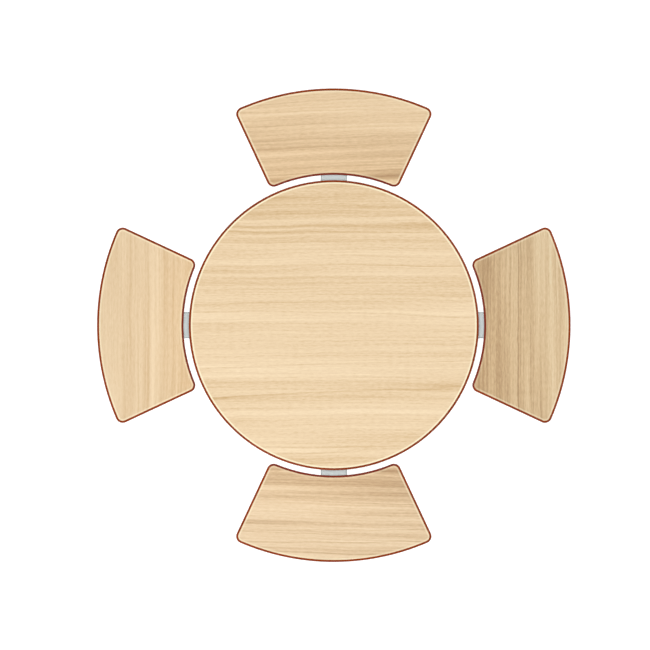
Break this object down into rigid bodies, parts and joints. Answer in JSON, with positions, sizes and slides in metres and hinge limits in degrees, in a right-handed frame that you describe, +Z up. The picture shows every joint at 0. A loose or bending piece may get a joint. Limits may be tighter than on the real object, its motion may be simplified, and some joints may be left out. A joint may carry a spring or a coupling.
{
  "type": "table with swivel seats",
  "caption": "Round dining table on a floor-level cross frame with attached ring-sector seats that swivel on posts.",
  "frame": {"origin": "on the floor, under the middle of the table top", "axes": "+Z up, +X from the middle of the table to seat 1; seats 2, 3 and 4 follow anticlockwise"},
  "size_m": [1.796, 1.796, 0.75],
  "materials": {
    "top_laminate": "pale oak-grain laminate on a board",
    "seat_laminate": "pale oak-grain laminate on a board",
    "edging": "red-brown bevelled edging",
    "frame_paint": "light silver-grey powder coat",
    "black_plastic": "moulded, fine texture",
    "bush_plastic": "off-white moulded acetal",
    "zinc_steel": "bright zinc-plated"
  },
  "bodies": {
    "frame": {"table_board": "top_laminate", "table_edge": "edging", "star_plate": "frame_paint", "column": "frame_paint", "column_cap": "black_plastic", "table_screws": "zinc_steel", "gussets": "frame_paint", "arm_caps": "black_plastic", "stop_fins": "frame_paint", "swivel_bushes": "bush_plastic", "arm_1": "frame_paint", "arm_2": "frame_paint", "arm_3": "frame_paint", "arm_4": "frame_paint", "post_1": "frame_paint", "post_2": "frame_paint", "post_3": "frame_paint", "post_4": "frame_paint"},
    "seat_1": {"seat_board_1": "seat_laminate", "seat_edge_1": "edging", "seat_bracket_1": "frame_paint"},
    "foot_1": {"levelling_foot_1": "black_plastic"},
    "seat_2": {"seat_board_2": "seat_laminate", "seat_edge_2": "edging", "seat_bracket_2": "frame_paint"},
    "foot_2": {"levelling_foot_2": "black_plastic"},
    "seat_3": {"seat_board_3": "seat_laminate", "seat_edge_3": "edging", "seat_bracket_3": "frame_paint"},
    "foot_3": {"levelling_foot_3": "black_plastic"},
    "seat_4": {"seat_board_4": "seat_laminate", "seat_edge_4": "edging", "seat_bracket_4": "frame_paint"},
    "foot_4": {"levelling_foot_4": "black_plastic"}
  },
  "joints": [
    {"name": "seat_swivel_1", "type": "hinge", "parent": "frame", "child": "seat_1", "pos_m": [0.725, 0, 0.42], "axis": [0, 0, 1], "range_deg": [-90, 90]},
    {"name": "seat_swivel_2", "type": "hinge", "parent": "frame", "child": "seat_2", "pos_m": [0, 0.725, 0.42], "axis": [0, 0, 1], "range_deg": [-90, 90]},
    {"name": "seat_swivel_3", "type": "hinge", "parent": "frame", "child": "seat_3", "pos_m": [-0.725, 0, 0.42], "axis": [0, 0, 1], "range_deg": [-90, 90]},
    {"name": "seat_swivel_4", "type": "hinge", "parent": "frame", "child": "seat_4", "pos_m": [0, -0.725, 0.42], "axis": [0, 0, 1], "range_deg": [-90, 90]},
    {"name": "foot_screw_1", "type": "slide", "parent": "frame", "child": "foot_1", "axis": [0, 0, -1], "range_m": [0, 0.012]},
    {"name": "foot_screw_2", "type": "slide", "parent": "frame", "child": "foot_2", "axis": [0, 0, -1], "range_m": [0, 0.012]},
    {"name": "foot_screw_3", "type": "slide", "parent": "frame", "child": "foot_3", "axis": [0, 0, -1], "range_m": [0, 0.012]},
    {"name": "foot_screw_4", "type": "slide", "parent": "frame", "child": "foot_4", "axis": [0, 0, -1], "range_m": [0, 0.012]}
  ]
}
